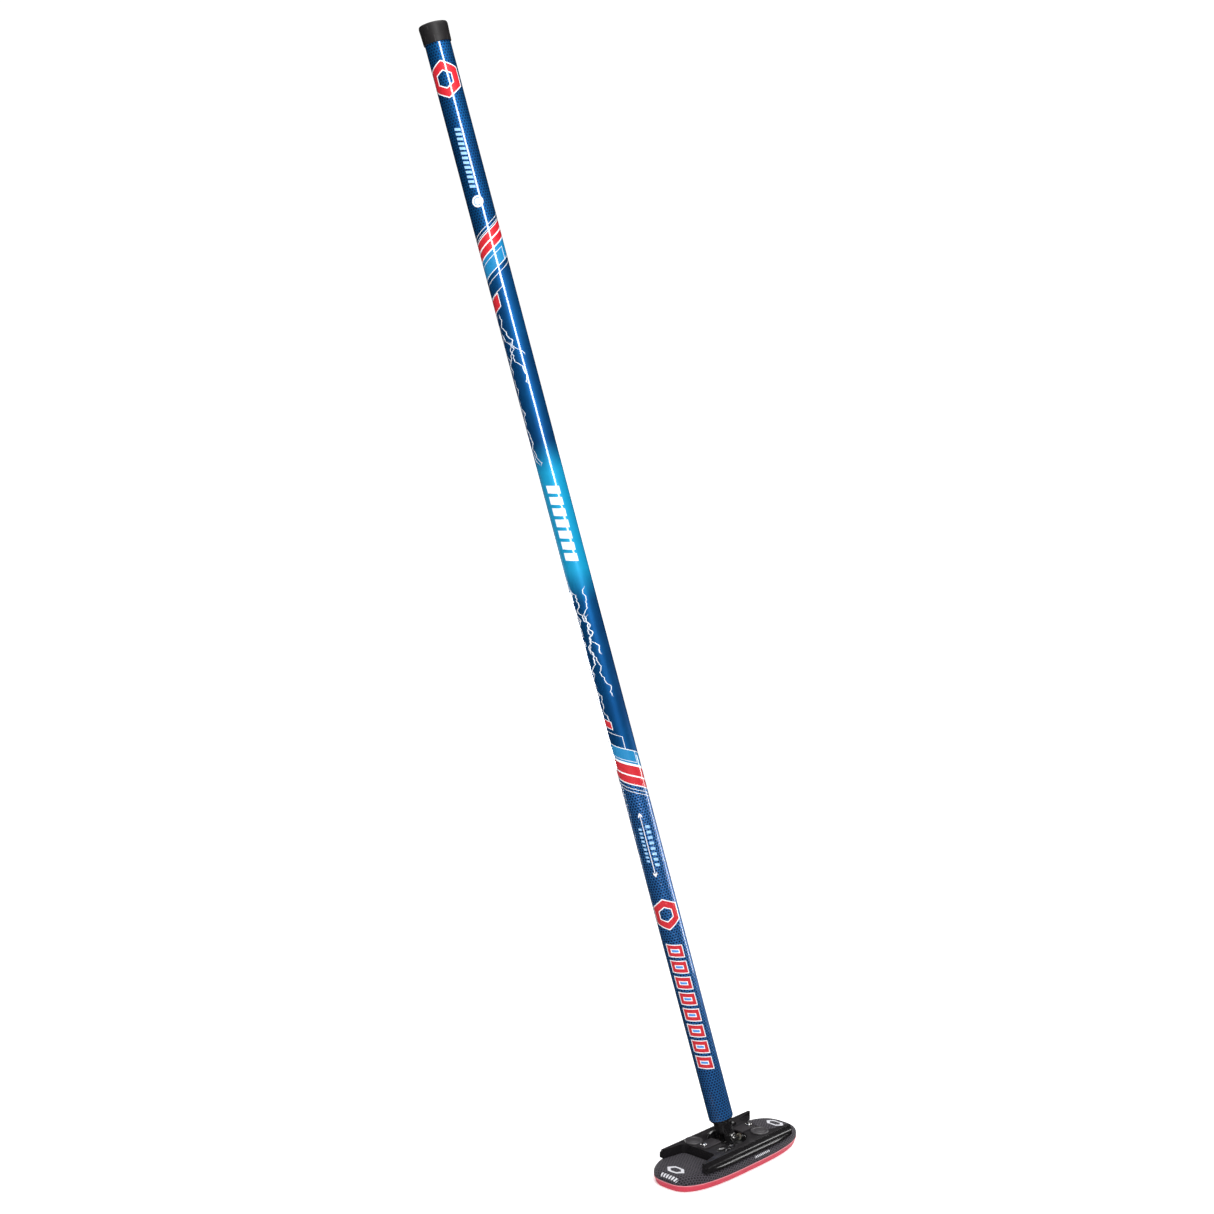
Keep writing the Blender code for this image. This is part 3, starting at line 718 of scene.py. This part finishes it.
def rounded(points, radius, steps=4, closed=False):
    """A (radius, height) outline with its corners rounded by up to the given radius."""
    result = []
    count = len(points)
    for i, point in enumerate(points):
        if not closed and i in (0, count - 1):
            result.append(point)
            continue
        here = Vector(point)
        before = Vector(points[i - 1]) - here
        after = Vector(points[(i + 1) % count]) - here
        reach = min(radius, before.length * 0.45, after.length * 0.45)
        first = here + before.normalized() * reach
        last = here + after.normalized() * reach
        for k in range(steps + 1):
            t = k / steps
            result.append(tuple(first * (1 - t) ** 2 + here * 2 * t * (1 - t) + last * t * t))
    return result


def block(low, high):
    bm = bmesh.new()
    bmesh.ops.create_cube(bm, size=1.0)
    low, high = Vector(low), Vector(high)
    bm.transform(Matrix.Translation((low + high) / 2) @ Matrix.Diagonal((*(high - low), 1.0)))
    return bm


def cut(piece, bm, matrix, name):
    tool = add_mesh(name, bm, None, matrix)
    modifier = piece.modifiers.new("Cut", "BOOLEAN")
    modifier.operation = "DIFFERENCE"
    modifier.object = tool
    return tool


def finish_cuts(piece, tools, bevel=0.0):
    """Makes the cuts final, softens the edges they leave and removes the tools."""
    if bevel:
        modifier = piece.modifiers.new("Bevel", "BEVEL")
        modifier.width = bevel
        modifier.segments = 3
        modifier.limit_method = "ANGLE"
        modifier.angle_limit = math.radians(40)
    graph = bpy.context.evaluated_depsgraph_get()
    mesh = bpy.data.meshes.new_from_object(piece.evaluated_get(graph))
    piece.modifiers.clear()
    piece.data = mesh
    mesh.shade_smooth()
    mesh.set_sharp_from_angle(angle=math.radians(35))
    for tool in tools:
        bpy.data.objects.remove(tool)


def shaft_frame():
    """The shaft's own axes: z along it, y along the cross bolt and the origin between the two."""
    tilt = next(joint for joint in frame["joints"] if joint["name"] == "neck_tilt")
    grip = next(mount for mount in frame["record"]["mounts"] if mount["name"] == "hand_grip")
    z = Vector(grip["axis"]).normalized()
    y = Vector(tilt["axis"])
    y = (y - z * y.dot(z)).normalized()
    turn = Matrix((y.cross(z), y, z)).transposed().to_4x4()
    return Matrix.Translation(tilt["pos_m"]) @ turn


SHAFT = shaft_frame()


def span(node):
    """How far a node reaches along the shaft, from and to."""
    into = SHAFT.inverted()
    heights = [(into @ vertex.co).z for vertex in frame["nodes"][node].data.vertices]
    return min(heights), max(heights)


def ride_as(piece, body, node):
    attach(piece, body)
    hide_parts(node)
    return piece


# ---------------------------------------------------------------- shaft


def make_tube(material):
    start, end = span("shaft_tube")
    outer, inner = TUBE_RADIUS, TUBE_BORE_RADIUS
    profile = rounded([(outer, start), (outer, end), (inner, end), (inner, start)], 0.4 * MM, 3, True)
    tube = add_mesh("printed_shaft", turned(profile, 144, "joined"), material, SHAFT)
    return ride_as(tube, "shaft", "shaft_tube")


def make_cap(material):
    start, end = span("end_cap")
    tube_end = span("shaft_tube")[1]
    skirt_start = end - 19.4 * MM
    inside, plug = 13.0 * MM, 11.1 * MM
    profile = [
        (plug - 0.8 * MM, start),
        (plug, start + 2 * MM),
        (plug, tube_end + GAP),
        (inside, tube_end + GAP),
        (inside, skirt_start),
        (inside + 0.6 * MM, skirt_start),
        (inside + 0.75 * MM, skirt_start + 1.6 * MM),
        (inside + 0.95 * MM, skirt_start + 8 * MM),
        (inside + 1.4 * MM, end - 3 * MM),
        (inside + 0.9 * MM, end - 0.8 * MM),
        (inside - 2 * MM, end),
        (0.4 * MM, end),
    ]
    cap = add_mesh("rubber_cap", turned(rounded(profile, 1.5 * MM), 120), material, SHAFT)
    return ride_as(cap, "shaft", "end_cap")


def make_neck(plastic):
    tube_start = span("shaft_tube")[0]
    bottom, top = span("neck")
    radius, flange, spigot, hollow = (value * MM for value in (9.35, 11.9, 11.1, 6.5))
    profile = [
        (0.4 * MM, bottom),
        (hollow, bottom),
        (radius - 0.75 * MM, bottom + 1.2 * MM),
        (radius, bottom + 4.0 * MM),
        (radius, tube_start - 4.4 * MM),
        (radius + 1.25 * MM, tube_start - 2.6 * MM),
        (flange, tube_start - 1.4 * MM),
        (flange, tube_start - GAP),
        (spigot, tube_start - GAP),
        (spigot, top - 1.0 * MM),
        (spigot - 1.0 * MM, top),
        (hollow, top),
        (hollow, tube_start + 6 * MM),
        (0.4 * MM, tube_start + 6 * MM),
    ]
    neck = add_mesh("gloss_neck", turned(rounded(profile, 0.9 * MM, 5), 96), plastic, SHAFT)
    reach = 15 * MM
    slot = block((-reach, -SLOT_HALF_WIDTH, -reach), (reach, SLOT_HALF_WIDTH, SLOT_ROOF))
    tools = [cut(neck, slot, SHAFT, "neck_slot")]
    for name, hole_radius, low, high, sides in (
        ("neck_bore", BORE_RADIUS, -reach, reach, 48),
        ("neck_seat", SEAT_RADIUS, -reach, SEAT_FACE, 64),
        ("neck_pocket", POCKET_CORNER_RADIUS, POCKET_FACE, reach, 6),
    ):
        hole = turned([(hole_radius, low), (hole_radius, high)], sides, axis="Y")
        tools.append(cut(neck, hole, SHAFT, name))
    finish_cuts(neck, tools, 0.35 * MM)
    return ride_as(neck, "shaft", "neck")


def make_bolt(metal):
    face, head, shank = BOLT_HEAD_FACE, BOLT_HEAD_RADIUS, BOLT_RADIUS
    seat, tip = SEAT_FACE - GAP, 10.3 * MM
    profile = rounded([(0.3 * MM, face), (head, face), (head, seat), (shank, seat)], 0.7 * MM, 4)
    profile += rounded([(shank, seat), (shank, tip), (0.3 * MM, tip)], 0.5 * MM, 4)[1:]
    bolt = add_mesh("socket_bolt", turned(profile, 64, axis="Y"), metal, SHAFT)
    socket = turned([(1.9 * MM, face - 1 * MM), (1.9 * MM, face + 1.5 * MM)], 6, axis="Y")
    finish_cuts(bolt, [cut(bolt, socket, SHAFT, "socket_tool")], 0.12 * MM)
    ride_as(bolt, "shaft", "cross_bolt")
    start, end = POCKET_FACE + GAP, POCKET_FACE + GAP + 2.6 * MM
    hexagon = turned([(NUT_CORNER_RADIUS, start), (NUT_CORNER_RADIUS, end)], 6, axis="Y")
    nut = add_mesh("hex_nut", hexagon, metal, SHAFT)
    bore = turned([(BORE_RADIUS, 0.0), (BORE_RADIUS, 15 * MM)], 48, axis="Y")
    finish_cuts(nut, [cut(nut, bore, SHAFT, "nut_tool")], 0.25 * MM)
    return ride_as(nut, "shaft", "bolt_nut")


# ---------------------------------------------------------------- head


def middle(node):
    low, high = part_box(node)
    return (low + high) / 2


def make_studs(plastic):
    """The ringed discs that hold the pad, each with a raised rim, a groove and a domed middle."""
    for side in ("left", "right"):
        node = "pad_stud_" + side
        low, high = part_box(node)
        flange = high.z - 2.0 * MM
        profile = [
            (0.3, low.z / MM),
            (4.2, low.z / MM),
            (4.6, low.z / MM + 0.8),
            (4.6, flange / MM),
            (9.6, flange / MM),
            (9.7, flange / MM + 0.6),
            (9.2, flange / MM + 1.5),
            (8.4, flange / MM + 1.8),
            (7.2, flange / MM + 1.75),
            (6.5, flange / MM + 1.05),
            (5.6, flange / MM + 1.05),
            (4.7, flange / MM + 1.65),
            (2.6, flange / MM + 1.95),
            (0.3, flange / MM + 2.0),
        ]
        profile = [(radius * MM, height * MM) for radius, height in profile]
        x, y, _ = middle(node)
        stud = add_mesh("ringed_stud_" + side, turned(rounded(profile, 0.5 * MM, 4), 96), plastic)
        stud.location = (x, y, 0)
        ride_as(stud, "head", node)


def make_screws(metal):
    for side in ("left", "right"):
        node = "tab_screw_" + side
        low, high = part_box(node)
        under = high.z - 1.8 * MM
        profile = [
            (0.3 * MM, low.z),
            (1.1 * MM, low.z),
            (1.6 * MM, low.z + 0.7 * MM),
            (1.6 * MM, under),
            (3.3 * MM, under),
            (3.3 * MM, under + 0.7 * MM),
            (2.7 * MM, under + 1.45 * MM),
            (1.5 * MM, under + 1.78 * MM),
            (0.3 * MM, under + 1.8 * MM),
        ]
        x, y, _ = middle(node)
        place = Matrix.Translation((x, y, 0))
        screw = add_mesh("pan_screw_" + side, turned(rounded(profile, 0.4 * MM, 4), 64), metal, place)
        long, short, floor = 1.9 * MM, 0.42 * MM, under + 0.6 * MM
        tools = [
            cut(screw, block((-long, -short, floor), (long, short, high.z + MM)), place, "recess_x"),
            cut(screw, block((-short, -long, floor), (short, long, high.z + MM)), place, "recess_y"),
        ]
        finish_cuts(screw, tools, 0.1 * MM)
        ride_as(screw, "head", node)


def soften(node, name, width, material):
    """A finer copy of a CAD node, with its edges rounded."""
    piece = frame["nodes"][node].copy()
    piece.data = piece.data.copy()
    piece.name = name
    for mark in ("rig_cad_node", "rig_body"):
        del piece[mark]
    piece.parent = None
    bpy.context.scene.collection.objects.link(piece)
    weld = piece.modifiers.new("Weld", "WELD")
    weld.merge_threshold = 0.01 * MM
    flat = piece.modifiers.new("Flat faces", "DECIMATE")
    flat.decimate_type = "DISSOLVE"
    flat.angle_limit = math.radians(1.0)
    bevel = piece.modifiers.new("Bevel", "BEVEL")
    bevel.width = width
    bevel.segments = 3
    bevel.limit_method = "ANGLE"
    bevel.angle_limit = math.radians(32)
    bpy.context.view_layer.update()
    mesh = bpy.data.meshes.new_from_object(piece.evaluated_get(bpy.context.evaluated_depsgraph_get()))
    piece.modifiers.clear()
    piece.data = mesh
    mesh.materials.clear()
    mesh.materials.append(material)
    if "custom_normal" in mesh.attributes:
        mesh.attributes.remove(mesh.attributes["custom_normal"])
    mesh.shade_smooth()
    mesh.set_sharp_from_angle(angle=math.radians(28))
    return ride_as(piece, "head", node)


# ---------------------------------------------------------------- pad


def oval(half_length, half_width, squareness):
    """A superellipse with its points spread evenly along it."""
    fine = 4096
    turns = np.linspace(0, 2 * math.pi, fine, endpoint=False)
    cosines, sines = np.cos(turns), np.sin(turns)
    x = half_length * np.sign(cosines) * np.abs(cosines) ** (2 / squareness)
    y = half_width * np.sign(sines) * np.abs(sines) ** (2 / squareness)
    loop = np.column_stack((x, y))
    steps = np.linalg.norm(np.roll(loop, -1, 0) - loop, axis=1)
    reached = np.concatenate(([0], np.cumsum(steps)))
    wanted = np.linspace(0, reached[-1], PAD_STEPS, endpoint=False)
    closed = np.vstack((loop, loop[:1]))
    return np.column_stack([np.interp(wanted, reached, closed[:, i]) for i in (0, 1)])


def pad_sizes():
    low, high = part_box("pad_cover")
    return (high.x - low.x) / 2 - 0.2 * MM, (high.y - low.y) / 2 - 0.2 * MM


def pad_ring(drawn_in, height):
    half_length, half_width = pad_sizes()
    loop = oval(half_length - drawn_in, half_width - drawn_in, PAD_SQUARENESS)
    return np.column_stack((loop, np.full(len(loop), height)))


def opening_ring(height):
    loop = oval(*OPENING_HALF_SIZES, OPENING_SQUARENESS)
    return np.column_stack((loop, np.full(len(loop), height)))


def smooth_profile(points, steps):
    """Points spread along a smooth curve through the given ones."""
    points = np.array(points, float)
    reach = np.concatenate(([0], np.cumsum(np.linalg.norm(np.diff(points, axis=0), axis=1))))
    slopes = np.gradient(points, reach, axis=0)
    result = []
    for t in np.linspace(0, reach[-1], steps):
        i = min(max(int(np.searchsorted(reach, t)) - 1, 0), len(points) - 2)
        h = reach[i + 1] - reach[i]
        u = (t - reach[i]) / h
        result.append(
            points[i] * (2 * u**3 - 3 * u**2 + 1)
            + slopes[i] * h * (u**3 - 2 * u**2 + u)
            + points[i + 1] * (3 * u**2 - 2 * u**3)
            + slopes[i + 1] * h * (u**3 - u**2)
        )
    return result


def cloth_grid(name, rings, material, closed_end=False):
    """A sheet through rings of points, with the map "flat" of where each was on the cut cloth."""
    bm = bmesh.new()
    vertices = [[bm.verts.new(point) for point in ring] for ring in rings]
    skin(bm, vertices, "open")
    if closed_end:
        bm.faces.new(vertices[-1])
    return add_mesh(name, bm, material, angle=60)


def lay_flat(piece, fold_height, upward):
    """Writes the map "flat": x and y, moved outwards by how far the cloth has turned down or up."""
    mesh = piece.data
    points = np.array([vertex.co for vertex in mesh.vertices])
    half_length, half_width = pad_sizes()
    outward = np.column_stack((points[:, 0] / half_length**2, points[:, 1] / half_width**2))
    outward /= np.linalg.norm(outward, axis=1)[:, None] + 1e-9
    rise = points[:, 2] - fold_height if upward else fold_height - points[:, 2]
    flat = points[:, :2] + outward * np.clip(rise, 0, None)[:, None]
    layer = mesh.uv_layers.new(name="flat")
    corners = np.array([loop.vertex_index for loop in mesh.loops])
    layer.data.foreach_set("uv", flat[corners].ravel())


def swell(piece, pinned, room, pressure, most):
    """Blows the sheet up as stuffed cloth. room says how much of the movement each point keeps."""
    mesh = piece.data
    rest = np.array([vertex.co for vertex in mesh.vertices])
    group = piece.vertex_groups.new(name="pinned")
    group.add([int(i) for i in np.flatnonzero(pinned)], 1.0, "REPLACE")
    modifier = piece.modifiers.new("Cloth", "CLOTH")
    settings = modifier.settings
    settings.quality = 5
    settings.mass = 0.2
    settings.tension_stiffness = 60
    settings.compression_stiffness = 60
    settings.shear_stiffness = 30
    settings.bending_stiffness = 4
    settings.use_pressure = True
    settings.uniform_pressure_force = pressure
    settings.vertex_group_mass = "pinned"
    settings.effector_weights.gravity = 0.0
    modifier.collision_settings.use_collision = False
    scene = bpy.context.scene
    last_frame = 16
    modifier.point_cache.frame_start = 1
    modifier.point_cache.frame_end = last_frame
    for number in range(1, last_frame + 1):
        scene.frame_set(number)
    graph = bpy.context.evaluated_depsgraph_get()
    evaluated = piece.evaluated_get(graph).to_mesh()
    moved = np.array([vertex.co for vertex in evaluated.vertices]) - rest
    piece.evaluated_get(graph).to_mesh_clear()
    piece.modifiers.remove(modifier)
    scene.frame_set(1)
    lengths = np.linalg.norm(moved, axis=1)
    scale = np.minimum(1.0, most / np.maximum(lengths, 1e-9)) * room
    mesh.vertices.foreach_set("co", (rest + moved * scale[:, None]).astype(np.float32).ravel())
    mesh.update()


def thicken(piece, thickness):
    """Gives the sheet its thickness on the inside, and makes it a closed shell."""
    modifier = piece.modifiers.new("Thickness", "SOLIDIFY")
    modifier.thickness = thickness
    modifier.offset = -1.0
    modifier.use_even_offset = False


def make_cover(textile):
    """The pad's cover: up from the red band, over the shoulder and in under the plate."""
    low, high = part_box("pad_cover")
    opening = opening_ring(high.z)
    profile = [
        (0.0, low.z),
        (-0.2 * MM, low.z + 2.4 * MM),
        (0.1 * MM, low.z + 4.5 * MM),
        (1.3 * MM, low.z + 6.3 * MM),
        (3.8 * MM, low.z + 7.5 * MM),
        (8.0 * MM, high.z - 0.1 * MM),
        (12.0 * MM, high.z),
    ]
    rings = [pad_ring(drawn_in, height) for drawn_in, height in smooth_profile(profile, 18)]
    shoulder = rings[-1]
    top_steps = 14
    for step in range(1, top_steps + 1):
        t = step / top_steps
        rings.append(shoulder * (1 - t) + opening * t)
    cover = cloth_grid("honeycomb_cover", rings, textile)
    lay_flat(cover, high.z - 2.5 * MM, upward=False)
    points = np.array([vertex.co for vertex in cover.data.vertices])
    along, across = np.abs(points[:, 0]), np.abs(points[:, 1])
    fade = 8 * MM
    ends = np.clip((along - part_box("head_plate")[1].x) / fade, 0, 1)
    inside_bay = np.clip((BAY_HALF_WIDTH - across) / fade, 0, 1)
    inside_bay *= np.clip((along - BAY_START) / fade, 0, 1)
    sides = np.clip((high.z - 1.2 * MM - points[:, 2]) / (2 * MM), 0, 1)
    room = np.maximum(np.maximum(ends, inside_bay), sides)
    room *= np.clip((points[:, 2] - low.z) / (1.0 * MM), 0, 1)
    pinned = np.zeros(len(points), bool)
    pinned[:PAD_STEPS] = True
    pinned[-PAD_STEPS:] = True
    swell(cover, pinned, room, 3.0, 1.3 * MM)
    thicken(cover, 1.0 * MM)
    ride_as(cover, "head", "pad_cover")
    return cover


def make_sweeping_fabric(nylon_fabric):
    """The red cup round the pad's bottom, with a turned edge where it meets the cover."""
    low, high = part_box("sweeping_fabric")
    edge = [
        (1.0 * MM, high.z - 0.5 * MM),
        (0.75 * MM, high.z - 0.05 * MM),
        (0.15 * MM, high.z),
        (-0.25 * MM, high.z - 0.4 * MM),
        (-0.05 * MM, high.z - 1.0 * MM),
    ]
    profile = [
        (0.2 * MM, high.z - 1.8 * MM),
        (0.7 * MM, 5.0 * MM),
        (1.5 * MM, 2.4 * MM),
        (2.2 * MM, 1.0 * MM),
        (3.4 * MM, 0.25 * MM),
        (5.0 * MM, 0.0),
        (8.0 * MM, 0.0),
    ]
    rings = [pad_ring(drawn_in, height) for drawn_in, height in smooth_profile(edge + profile, 26)]
    last = rings[-1]
    for scale in (0.93, 0.84, 0.72, 0.58, 0.43, 0.28, 0.13):
        rings.append(last * (scale, scale, 1.0))
    fabric = cloth_grid("red_fabric", rings, nylon_fabric, closed_end=True)
    lay_flat(fabric, 0.0, upward=True)
    points = np.array([vertex.co for vertex in fabric.data.vertices])
    pinned_rings = 8
    pinned = np.zeros(len(points), bool)
    pinned[: pinned_rings * PAD_STEPS] = True
    room = np.clip((points[:, 2] - low.z) / (2.5 * MM), 0, 1)
    swell(fabric, pinned, room, 2.0, 0.5 * MM)
    ride_as(fabric, "head", "sweeping_fabric")
    return fabric


def make_foam(material):
    low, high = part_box("foam_core")
    profile = [
        (9.0 * MM, low.z),
        (5.2 * MM, low.z + 0.3 * MM),
        (3.4 * MM, 4.8 * MM),
        (2.2 * MM, 7.6 * MM),
        (2.2 * MM, high.z - 2.0 * MM),
        (3.4 * MM, high.z - 0.4 * MM),
        (6.0 * MM, high.z),
    ]
    rings = [pad_ring(drawn_in, height) for drawn_in, height in smooth_profile(profile, 16)]
    first, last = rings[0], rings[-1]
    scales = (0.9, 0.75, 0.55, 0.35, 0.15)
    rings = [first * (scale, scale, 1.0) for scale in reversed(scales)] + rings
    rings += [last * (scale, scale, 1.0) for scale in scales]
    bm = bmesh.new()
    skin(bm, [[bm.verts.new(point) for point in ring] for ring in rings], "caps")
    foam = add_mesh("foam_slab", bm, material, angle=60)
    ride_as(foam, "head", "foam_core")
    return foam


# ---------------------------------------------------------------- stage


def make_camera():
    data = bpy.data.cameras.new("camera")
    data.lens = CAMERA_LENS
    data.sensor_width = CAMERA_SENSOR
    data.sensor_fit = "HORIZONTAL"
    camera = bpy.data.objects.new("camera", data)
    camera.location = CAMERA_PLACE
    camera.rotation_euler = [math.radians(angle) for angle in CAMERA_TURN]
    bpy.context.scene.collection.objects.link(camera)
    bpy.context.scene.camera = camera
    return camera


def add_light(name, place, target, size, power, along=None):
    """An area light at a place, facing a target. along is the direction of its longer side."""
    data = bpy.data.lights.new(name, "AREA")
    data.shape = "RECTANGLE"
    data.size, data.size_y = size
    data.energy = power
    light = bpy.data.objects.new(name, data)
    light.visible_camera = False
    bpy.context.scene.collection.objects.link(light)
    z = (Vector(place) - Vector(target)).normalized()
    y = Vector(along or (0, 0, 1))
    y = (y - z * y.dot(z)).normalized()
    light.matrix_world = Matrix.Translation(place) @ Matrix((y.cross(z), y, z)).transposed().to_4x4()
    return light


def shaft_light(name, turn, distance, reach, width, power):
    """A strip beside the shaft: turn is its direction round it from the front, in degrees."""
    angle = PRINT_FRONT + math.radians(turn)
    start, end = reach
    aside = Vector((math.cos(angle), math.sin(angle), 0)) * distance
    centre = Vector((0, 0, (start + end) / 2))
    along = SHAFT.to_3x3() @ Vector((0, 0, 1))
    place = SHAFT @ (centre + aside)
    return add_light(name, place, SHAFT @ centre, (width, end - start), power, along=along)


def make_stage():
    bm = bmesh.new()
    bmesh.ops.create_grid(bm, x_segments=8, y_segments=8, size=FLOOR_HALF_SIZE)
    floor = add_mesh("floor", bm, floor_paint())
    floor.visible_glossy = False
    outline = [(WALL_RADIUS, -1.0), (WALL_RADIUS, 25.0), (0.4, 26.0)]
    wall = add_mesh("wall", turned(outline, ends="open"), wall_paint())
    for visible_to in ("diffuse", "glossy", "transmission", "shadow", "volume_scatter"):
        setattr(wall, "visible_" + visible_to, False)
    world = bpy.data.worlds.new("studio")
    bpy.context.scene.world = world
    world.use_nodes = True
    background = world.node_tree.nodes["Background"]
    background.inputs["Color"].default_value = (1.0, 1.0, 1.0, 1.0)
    background.inputs["Strength"].default_value = 0.30
    world.cycles_visibility.glossy = False
    shaft_light("upper_strip", 16.0, 1.9, (0.48, 2.05), 0.50, 34.0)
    shaft_light("left_strip", -144.0, 1.6, (0.05, 0.42), 0.3, 9.4)
    shaft_light("right_strip", 114.0, 0.4, (0.02, 0.32), 0.08, 0.7)
    add_light("overhead", (-0.4, -0.3, 2.6), (0, 0, 0), (1.6, 1.6), 45.0)
    bpy.context.scene.view_settings.view_transform = "Standard"


def main():
    make_camera()
    make_stage()
    black_gloss = gloss_plastic()
    grained = grained_plastic("grained_plastic", (0.026, 0.024, 0.026), (0.044, 0.040, 0.044))
    stud_plastic = grained_plastic("stud_plastic", (0.046, 0.043, 0.046), (0.070, 0.066, 0.070))
    metal = steel()
    make_tube(shaft_print())
    make_cap(rubber())
    make_neck(black_gloss)
    make_bolt(metal)
    make_studs(stud_plastic)
    make_screws(metal)
    make_foam(foam_skin())
    make_cover(cover_textile())
    fabric = make_sweeping_fabric(sweeping_nylon())

    pale_nylon, insert_brass, stiff_board = nylon(), brass(), board()
    soften("head_plate", "moulded_plate", 0.35 * MM, plate_plastic())
    soften("axle_tab_left", "moulded_tab_left", 0.25 * MM, grained)
    soften("axle_tab_right", "moulded_tab_right", 0.25 * MM, grained)
    looks = {
        "swivel_block": black_gloss,
        "head_axle": metal,
        "friction_washer_near": pale_nylon,
        "friction_washer_far": pale_nylon,
        "axle_bush_left": pale_nylon,
        "axle_bush_right": pale_nylon,
        "threaded_insert_left": insert_brass,
        "threaded_insert_right": insert_brass,
        "pad_stiffener": stiff_board,
    }
    for node, material in looks.items():
        for slot in frame["nodes"][node].material_slots:
            slot.material = material


main()
bpy.context.view_layer.update()
